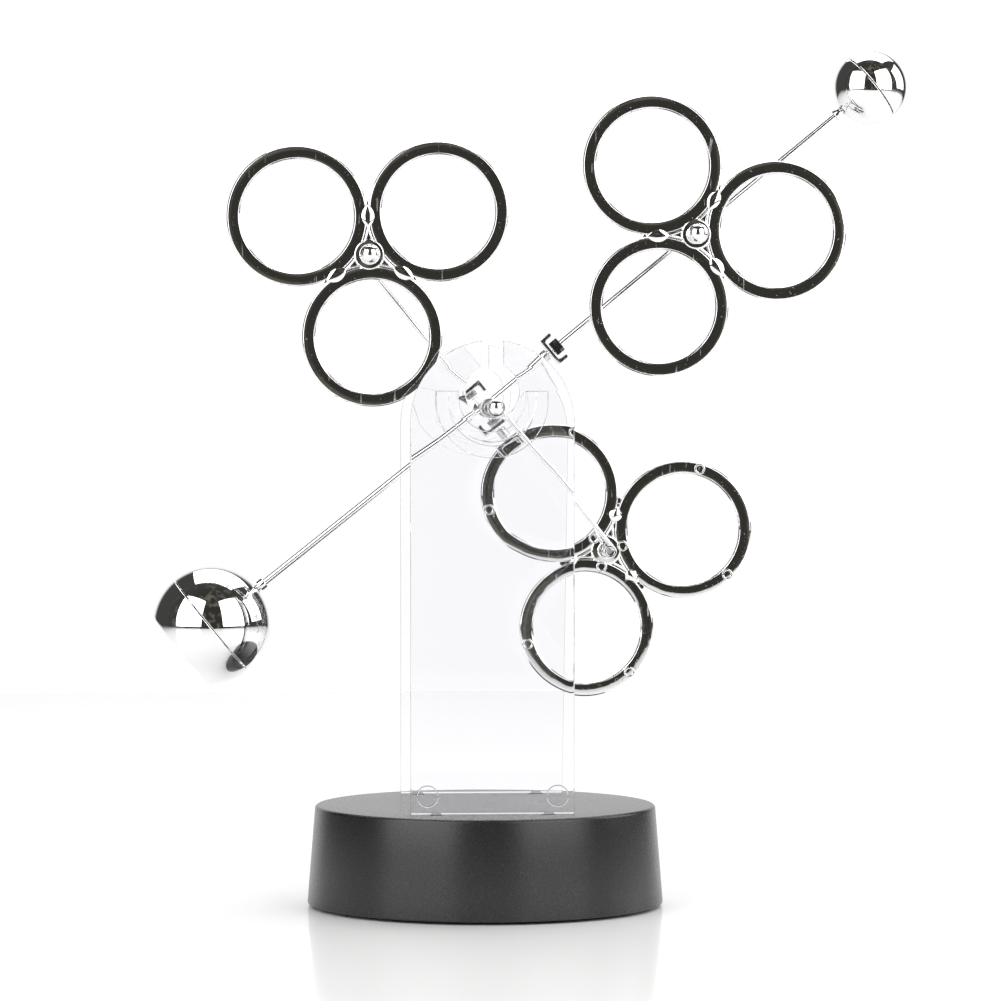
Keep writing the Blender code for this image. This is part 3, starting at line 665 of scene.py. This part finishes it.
def bent_strip(width, flange, depth):
    """A U seen from its edge: two sides and a web of one thickness, with its bends rounded."""
    half, inner = width / 2, width / 2 - STRIP_T
    corners = [(-half, 0), (half, 0), (half, flange), (inner, flange)]
    corners += [(inner, STRIP_T), (-inner, STRIP_T), (-inner, flange), (-half, flange)]
    return upright(slab(rounded(corners, 0.8, 6), depth, 0.25, 3))


def strip_towards(form, along, across):
    """Turn the U's open side from across towards another direction of the cross."""
    return form.mapped([(across, 0, -along), (0, 1, 0), (along, 0, across)])


# name, node, place along and across, the way it opens, width
STRIPS = (
    ("left strip", "bracket_left", -1.85, 9.7, (0, -1), 10.5),
    ("right strip", "bracket_right", -1.85, -7.0, (0, 1), 10.5),
    ("lower strip", "bracket_lower", -2.45, -11.8, (0, -1), 9.0),
    ("upper strip", "bracket_upper", 27.4, 1.55, (1, 0), 10.5),
)
for name, node, u, v, way, width in STRIPS:
    strip = strip_towards(bent_strip(width, STRIP_FLANGE, STRIP_DEPTH), *way).moved(u, 0, v)
    on_rotor(name, strip, PLATED_STEEL, [node], 20)

# %% [markdown]
# ## Nuts, spacer, collar and bead
# These are bored and threaded on the wires. A nut is a sleeve whose outside is pulled in to six flats, which
# keeps its bore round and its broken edges.

# %% Stud, nuts, spacer, collar and bead
NUT_BORE = 1.15
ROD_BORE = 1.4


def hexagon_nut(radius, bore, length):
    """Six flats with a hole: the radius of a turned form is pulled in to the flats, except at its bore."""
    form = collar(radius, bore, length, 0.2, 96)
    angle = np.arctan2(form.points[:, 1], form.points[:, 0])
    flat = np.cos(np.pi / 6) / np.cos((angle % (np.pi / 3)) - np.pi / 6)
    reach = np.hypot(form.points[:, 0], form.points[:, 1])
    outside = np.clip((reach - bore) / (radius - bore), 0, 1)
    form.points[:, :2] *= (1 + outside * (flat - 1))[:, None]
    return form


stud = wire((LEFT_ARM, 0, -13.6), (LEFT_ARM, 0, -2.5), ARM_R)
on_rotor("link stud", stud, PLATED_STEEL, ["link_stud"])
NUTS = (("left nut", "nut_left", 7.1, 1.8), ("right nut", "nut_right", -4.4, 1.8))
for name, node, v, length in NUTS:
    nut = hexagon_nut(1.9, NUT_BORE, length).moved(LEFT_ARM, 0, v)
    on_rotor(name, nut, PLAIN_STEEL, [node], 30)
spacer = collar(1.7, NUT_BORE, 3.4).moved(LEFT_ARM, 0, -9.4)
on_rotor("spacer", spacer, PLAIN_STEEL, ["spacer_lower"])
ring = collar(2.0, ROD_BORE, 2.2).aimed((1, 0, 0)).moved(25.8, 0, 1.5)
on_rotor("collar", ring, PLAIN_STEEL, ["collar_upper"])
bead = hexagon_nut(2.5, ROD_BORE, 3.2).aimed((1, 0, 0)).moved(30.9, 0, 1.5)
on_rotor("bead", bead, DARK_GLOSS, ["bead_upper"])

# %% [markdown]
# ## The two balls
# A ball is moulded in two halves and plated. The halves meet in a fine groove. The big one is cut flat on
# its outer side, where the magnet sits close to the base; the small one is whole.

# %% Hollow half balls
WALL = 1.4
NECK_R = 1.45
LIP_R = 0.22
LIP_Z = 0.15


def lip(radius, inner):
    """The rim of a half ball: rounded outside where it meets the other half, then in to the wall."""
    outside = arc(radius - LIP_R, LIP_Z + LIP_R, LIP_R, 0, -90, 4)
    return np.concatenate([outside, [(inner, LIP_Z)]])


def seam_angle(radius):
    """The angle in degrees at which a half ball's skin ends and its lip begins."""
    return math.degrees(math.asin((LIP_Z + LIP_R) / radius))


def neck_half(radius):
    """From the hole for the rod over the half ball to its rim, and back along the inside."""
    inner = radius - WALL
    top = math.degrees(math.acos(NECK_R / radius))
    outside = arc(0, 0, radius, top, seam_angle(radius), 56)
    inside = arc(0, 0, inner, 1.0, math.degrees(math.acos(NECK_R / inner)), 24)
    return np.concatenate([outside, lip(radius, inner), inside])


def flat_half(radius, flat):
    """A half ball cut off flat at one height, or whole if that height is its radius."""
    inner = radius - WALL
    seam = seam_angle(radius)
    floor_r = math.sqrt(max(inner**2 - (flat - WALL) ** 2, 0))
    if flat < radius:
        corner = math.sqrt(radius**2 - flat**2)
        bend = rounded([(0, flat), (corner, flat), (radius * 0.86, radius * 0.51)], 0.9, 8, loop=False)
        top = math.degrees(math.asin((flat - 0.75) / radius))
        floor = [(0, flat), (corner * 0.5, flat)]
        outside = np.concatenate([floor, bend[8:16], arc(0, 0, radius, top, seam, 40)])
    else:
        outside = arc(0, 0, radius, 90, seam, 56)
    inner_top = math.degrees(math.asin(min((flat - WALL) / inner, 1)))
    middle = [(floor_r * 0.5, flat - WALL), (0, flat - WALL)]
    return np.concatenate([outside, lip(radius, inner), arc(0, 0, inner, 1.0, inner_top, 24), middle])


# name, node, place along, radius, height of the flat, which way its neck faces
BALLS = (
    ("big ball", "drive_ball", BIG_U, 20.0, 13.4, 1),
    ("small ball", "tip_ball", SMALL_U, 12.5, 12.5, -1),
)
for name, node, u, radius, flat, side in BALLS:
    neck = turned(neck_half(radius), 128, loop=True).aimed((side, 0, 0)).moved(u, 0, BALL_V)
    on_rotor(f"{name} inner half", neck, PLATED_PLASTIC, [f"{node}_neck"])
    cap = turned(flat_half(radius, flat), 128).aimed((-side, 0, 0)).moved(u, 0, BALL_V)
    on_rotor(f"{name} outer half", cap, PLATED_PLASTIC, [f"{node}_cap"])
    reach = radius + 1.75
    v = BALL_V - (BALL_V - ROD_V) / abs(u) * reach
    ring = collar(1.9, ROD_BORE, 2.4, 0.4).aimed((1, 0, 0)).moved(u + side * reach, 0, v)
    on_rotor(f"{name} ferrule", ring, PLATED_STEEL, [f"{node}_ferrule"])

# %% [markdown]
# ## The ring trios
# A trio is one plated moulding: three bevelled rings side by side round a boss. Thin webs fill the small
# corners between them, pointed pads cover the joints, thin ribs follow the rings' near edges, and hollow
# posts stand on the back. Every ring is one profile carried round, so its flat face mirrors the dark side
# of the room and its bevels the light.

# %% One trio, drawn about its own axis with its front towards +z
RING_AT = 27.3
RING_R = 23.4
RING_HOLE = 19.0
RING_HALF = 1.5
WEB_R = 16.6
WEB_REACH = 21.4
POST_AT = 21.5
RIB_AT = 24.0
RIB_R = 0.4
RIB_SWEEP = 34


def ring_profile():
    """Outer edge, flat face, wide inner bevel and hole, then the same behind."""
    front = [(RING_R, RING_HALF - 0.4), (RING_R - 0.4, RING_HALF), (RING_HOLE + 0.5, RING_HALF)]
    front += [(RING_HOLE, RING_HALF - 0.5)]
    back = [(r, -z) for r, z in reversed(front)]
    return rounded(front + back, 0.12, 4)


def web():
    """A thin star that reaches into each ring's band: along a ray the nearer crossing with a circle."""
    angle = np.linspace(0, 2 * np.pi, 240, endpoint=False)
    off = (angle + np.pi / 3) % (2 * np.pi / 3) - np.pi / 3
    inside = WEB_REACH**2 - (RING_AT * np.sin(off)) ** 2
    reach = RING_AT * np.cos(off) - np.sqrt(np.maximum(inside, 0))
    reach = np.where(inside > 0, np.minimum(reach, WEB_R), WEB_R)
    return slab(np.stack([reach * np.cos(angle), reach * np.sin(angle)], axis=-1), 1.6, 0.1, 0)


def pad(length, width, height):
    """A pointed oval dome: its width falls as 1 - x squared, and its height as the root of that."""
    x = np.linspace(-1, 1, 33)[:, None]
    t = np.linspace(-1, 1, 17)[None]
    half = width / 2 * (1 - x**2)
    y = half * t
    z = height * np.sqrt(np.maximum(1 - x**2, 0)) * (1 - t**2)
    top = np.stack([length / 2 * x + 0 * t, y, z], axis=-1)
    low = np.stack([length / 2 * x + 0 * t, y, 0 * z - 0.4], axis=-1)
    left = np.concatenate([top[:, :1], low[:, :1]], axis=1)
    right = np.concatenate([top[:, -1:], low[:, -1:]], axis=1)
    return grid(top) + grid(low) + grid(left) + grid(right)


def post(height):
    """A hollow round post with a rounded rim."""
    corners = [(1.15, -0.6), (1.15, height), (1.85, height), (1.85, -0.6)]
    return turned(rounded(corners, 0.25, 5), 40, loop=True)


def rib(height):
    """A thin raised line along a ring's near edge: a small circle carried along an arc about the ring."""
    rows, sides = 49, 12
    along = np.radians(np.linspace(180 - RIB_SWEEP, 180 + RIB_SWEEP, rows))[:, None]
    around = np.linspace(0, 2 * np.pi, sides, endpoint=False)[None]
    reach = RIB_AT + RIB_R * np.cos(around)
    x, y = reach * np.cos(along) + RING_AT, reach * np.sin(along)
    line = grid(np.stack([x, y, height + RIB_R * np.sin(around) + 0 * along], axis=-1), wrap_columns=True)
    fan = [(0, i, i + 1) for i in range(1, sides - 1)]
    first, last = Form(line.points[:sides], (), fan), Form(line.points[-sides:], (), fan)
    return line + first + last


def boss():
    """The round middle: a low step, then a raised lip about the pin's hole."""
    front = [(1.3, 1.9), (2.6, 1.9), (2.9, 1.7), (4.7, 1.7), (5.25, 1.3)]
    back = [(r, -z) for r, z in reversed(front)]
    return turned(rounded(front + back, 0.2, 4), 72, loop=True)


TO_THE_BACK = [(1, 0, 0), (0, -1, 0), (0, 0, -1)]


def joint_detail():
    """Between two rings, along +x: a long pad in front with a small one beyond, and a round one behind."""
    front = pad(8.0, 4.2, 0.45).moved(12.9, 0, RING_HALF) + pad(2.6, 2.0, 0.3).moved(17.2, 0, 1.0)
    back = pad(5.4, 4.4, 0.8).moved(12.4, 0, RING_HALF).mapped(TO_THE_BACK)
    return front + back


def trio():
    """Three rings and three joints, a third of a turn apart, with the boss, the web and the back posts."""
    ring = turned(ring_profile(), 144, loop=True).moved(x=RING_AT)
    behind = post(0.5).mapped(TO_THE_BACK).moved(POST_AT, 0, -RING_HALF)
    posts = joined([behind.spun(a) for a in (60, 180, 300)]).moved(x=RING_AT)
    third = ring + posts + rib(RING_HALF - 0.2) + rib(0.2 - RING_HALF) + joint_detail().spun(60)
    return joined([third.spun(a) for a in (0, 120, 240)]) + web() + boss()


TRIO = trio()
print("trio", len(TRIO.points), "points")

# %% [markdown]
# ## The trios in place
# The left and upper trios face the front; the right one hangs behind its arm and shows its back. Each is
# laid square on its pin, turned to where it has come to rest, and rides on its own body.

# %% Place the trios and their pins
def stood(form, place, degrees, front):
    """Local z to the front or to the back of the mobile, turned about the pin as seen from the front."""
    if front:
        return form.spun(degrees).mapped([(1, 0, 0), (0, 0, 1), (0, -1, 0)]).moved(*place)
    return form.spun(-degrees).mapped([(1, 0, 0), (0, 0, -1), (0, 1, 0)]).moved(*place)


TRIOS = (("left", LEFT, -7.1), ("upper", UPPER, -36.5), ("right", RIGHT, -24.4))
PIN_START = {"left": 1.9, "upper": -1.9, "right": -6.0}
CAP_R = 3.5
CAP_REACH = 5.8
for name, place, degrees in TRIOS:
    side = -1 if place[1] < 0 else 1
    form = on_cross(stood(TRIO, place, degrees, side < 0))
    nodes = [f"ring_trio_{name}"]
    piece(f"{name} ring trio", form, RING_CHROME, f"{name}_trio", nodes, 30)
    cap_y = place[1] + side * CAP_REACH
    pin = wire((place[0], PIN_START[name], place[2]), (place[0], cap_y - side * 0.5, place[2]), 1.0)
    on_rotor(f"{name} pin", pin, PLAIN_STEEL, [f"{name}_pin"])
    outline = np.concatenate([arc(0, 0, CAP_R, 90, -68, 40), [(1.3, -0.2), (0, -0.2)]])
    cap = turned(outline, 72).aimed((0, side, 0)).moved(place[0], cap_y, place[2])
    on_rotor(f"{name} pin ball", cap, PLATED_STEEL, [f"{name}_pin_cap"])
block_form = collar(3.0, 0.9, 10.4, 0.4, 72).aimed((0, 1, 0)).moved(UPPER[0], -2.6, UPPER[2])
on_rotor("upper pivot block", block_form, PLATED_STEEL, ["upper_pivot_block"])

# %% [markdown]
# ## The underside
# A flat cover closes the base, held by three cross-head screws, with a foam pad under it. The battery hatch
# swings down about its outer edge, and has raised bars for a thumb along the other one.

# %% Cover, pad, screws and hatch
HATCH_Y = 30.0
SCREW_AT = 50.0
SCREW_TURNS = (-20, 90, 200)
HATCH_X, HATCH_HALF = 29.0, 14.8
SHEET_EDGE = 0.3


def disc(radius, thickness, height, edge):
    """A flat round sheet with a soft rim, its lower face at a height."""
    turn = np.linspace(0, 2 * np.pi, 160, endpoint=False)
    outline = radius * np.stack([np.cos(turn), np.sin(turn)], axis=-1)
    return slab(outline, thickness, edge, 3).moved(z=height + thickness / 2)


def open_up(sheet, hole_r):
    """The hatch's window and a round hole at each screw."""
    combine(sheet, block(2 * HATCH_X + ROOM, 2 * HATCH_HALF + ROOM, 12).moved(0, HATCH_Y, 0), "DIFFERENCE")
    for turn in SCREW_TURNS:
        hole = turned([(0, -6), (hole_r, -6), (hole_r, 6), (0, 6)], 48).moved(SCREW_AT).spun(turn)
        combine(sheet, hole, "DIFFERENCE")


form = disc(56.8, 2.0, 1.3, SHEET_EDGE)
open_up(piece("bottom sheet", form, BASE_BLACK, "stand", ["bottom_cover"]), 1.6)
form = disc(55.6, 1.0, 0, SHEET_EDGE)
open_up(piece("foam pad", form, FOAM, "stand", ["base_pad"]), 2.9)
for index, turn in enumerate(SCREW_TURNS):
    corners = [(0, 8.6), (1.0, 8.6), (1.0, 0.9), (2.6, 0.9), (2.6, 0.3), (0, 0.3)]
    form = turned(rounded(corners, 0.25, 5, loop=False), 48).moved(SCREW_AT).spun(turn)
    screw = piece(f"screw {index + 1}", form, PLAIN_STEEL, "stand", [f"cover_screw_{index + 1}"])
    for length, width in ((3.0, 0.6), (0.6, 3.0)):
        combine(screw, block(length, width, 0.7).moved(SCREW_AT, 0, 0.3).spun(turn), "DIFFERENCE")
corners = [(-HATCH_X, -HATCH_HALF), (HATCH_X, -HATCH_HALF), (HATCH_X, HATCH_HALF), (-HATCH_X, HATCH_HALF)]
outline = rounded(corners, 0.8, 6)
bars = [wire((-9, y, 1.4), (9, y, 1.4), 0.35, 16) for y in (17.5, 19.0, 20.5, 22.0)]
hatch = slab(outline, 1.6, SHEET_EDGE, 3).moved(0, HATCH_Y, 2.2) + joined(bars)
piece("hatch door", hatch, BASE_BLACK, "hatch", ["battery_hatch"])

# %% [markdown]
# ## What the drive is made of
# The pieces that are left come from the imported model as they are. They are small and hidden in the base or
# in the balls, so their shapes are kept and only their finishes are new.

# %% Finishes for the carried-over pieces
CARRIED = {
    "battery_9v": BATTERY_JACKET, "battery_snap": RED_PLASTIC, "circuit_board": BOARD_GREEN,
    "transistor": DARK_GLOSS, "capacitor": DARK_GLOSS, "coil_bobbin": WHITE_PLASTIC,
    "coil_winding": COPPER_WIRE, "coil_core": PLAIN_STEEL, "drive_magnet": MAGNET_PLATE,
    "magnet_holder": WHITE_PLASTIC, "tip_ball_plug": WHITE_PLASTIC,
}
for name, look in CARRIED.items():
    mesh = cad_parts[name].data
    mesh.materials.clear()
    mesh.materials.append(look)
print("carried over", len(CARRIED))

# %% [markdown]
# ## The table
# A white table runs back to a bright wall. It shines only a little, so that the base stands on a faint
# mirror image of itself.

# %% Table
def make_table():
    """A flat sheet from well in front of the object to a metre behind it."""
    made, graph, sockets = finish("white table", Roughness=0.1, Specular_IOR_Level=0.03)
    cloud = graph.noise(3.0)
    colour = graph.blend(cloud, (0.93, 0.93, 0.93, 1), (0.95, 0.95, 0.95, 1))
    graph.feed(sockets["Base Color"], colour)
    mesh = bpy.data.meshes.new("table")
    wide, near, far = 3.0, -1.2, 1.1
    corners = [(-wide, near, 0), (wide, near, 0), (wide, far, 0), (-wide, far, 0)]
    mesh.from_pydata(corners, [], [(0, 1, 2, 3)])
    mesh.materials.append(made)
    table = bpy.data.objects.new("table", mesh)
    bpy.context.scene.collection.objects.link(table)


make_table()


# %% [markdown]
# ## The room and its lights
# Chrome shows nothing but the room round it. The wall behind is white, and the near side is dark and a
# little cloudy, so that flat faces go dark. Two tall soft lights in front show as windows in the balls, one
# at the side picks out edges, and one overhead lights the table.

# %% Room light and soft boxes
def make_room():
    """White straight behind, dark at the sides, and cloudy on the near side."""
    world = bpy.data.worlds.new("studio")
    bpy.context.scene.world = world
    world.use_nodes = True
    graph = Graph(world.node_tree)
    way = graph.add("ShaderNodeTexCoord", output=0)
    depth = graph.add("ShaderNodeSeparateXYZ", {}, {0: way}, 1)
    behind = graph.ramp(depth, 0.72, 0.9)
    cloud = graph.add("ShaderNodeTexNoise", {}, {"Vector": way, "Scale": 5.0, "Detail": 1.0})
    front = graph.blend(graph.ramp(cloud, 0.48, 0.7), (0.034, 0.032, 0.027, 1), (0.14, 0.13, 0.11, 1))
    dim = graph.blend(graph.ramp(depth, -0.6, 0.3), front, (0.055, 0.054, 0.052, 1))
    colour = graph.blend(behind, dim, (1.0, 1.0, 1.0, 1))
    background = world.node_tree.nodes["Background"]
    graph.feed(background.inputs["Color"], colour)
    background.inputs["Strength"].default_value = 1.06


def soft_box(name, place, target, width, height, power):
    """A rectangular light aimed at a point."""
    light = bpy.data.lights.new(name, "AREA")
    light.shape = "RECTANGLE"
    light.size, light.size_y = width, height
    light.energy = power
    lamp = bpy.data.objects.new(name, light)
    bpy.context.scene.collection.objects.link(lamp)
    offset = np.subtract(place, target)
    across = np.cross((0, 0, 1), offset)
    across /= np.linalg.norm(across)
    back = offset / np.linalg.norm(offset)
    rows = np.column_stack([across, np.cross(back, across), back])
    lamp.matrix_world = Matrix.Translation(place) @ Matrix(rows.tolist()).to_4x4()


# name, place, the point it is aimed at, width, height, watts
SOFT_BOXES = (
    ("left soft box", (-0.98, -0.9, 0.84), (0, 0, 0.6), 1.35, 1.55, 20),
    ("right soft box", (0.84, -0.92, 0.8), (0, 0, 0.58), 1.15, 1.45, 15),
    ("side soft box", (1.5, 0.3, 0.75), (0, 0, 0.15), 1.0, 1.1, 8),
    ("top light", (0.25, 0.85, 1.9), (0.1, 0.1, 0.1), 2.1, 1.8, 31),
)
make_room()
for box in SOFT_BOXES:
    soft_box(*box)

# %% [markdown]
# ## The camera
# A long lens a good step away keeps the rings nearly round. It stands a little to the left of the middle
# and looks very slightly down.

# %% Camera
FILM_MM, LENS_MM = 36.0, 148.9
CAMERA_AT = (-0.08664, -1.39481, 0.16317)
CAMERA_TURN = (88.911, 0, -3.767)
lens = bpy.data.cameras.new("camera")
lens.sensor_width = FILM_MM
lens.lens = LENS_MM
camera = bpy.data.objects.new("camera", lens)
camera.location = CAMERA_AT
camera.rotation_euler = [math.radians(degrees) for degrees in CAMERA_TURN]
bpy.context.scene.collection.objects.link(camera)
bpy.context.scene.camera = camera
bpy.context.scene.view_settings.view_transform = "Standard"
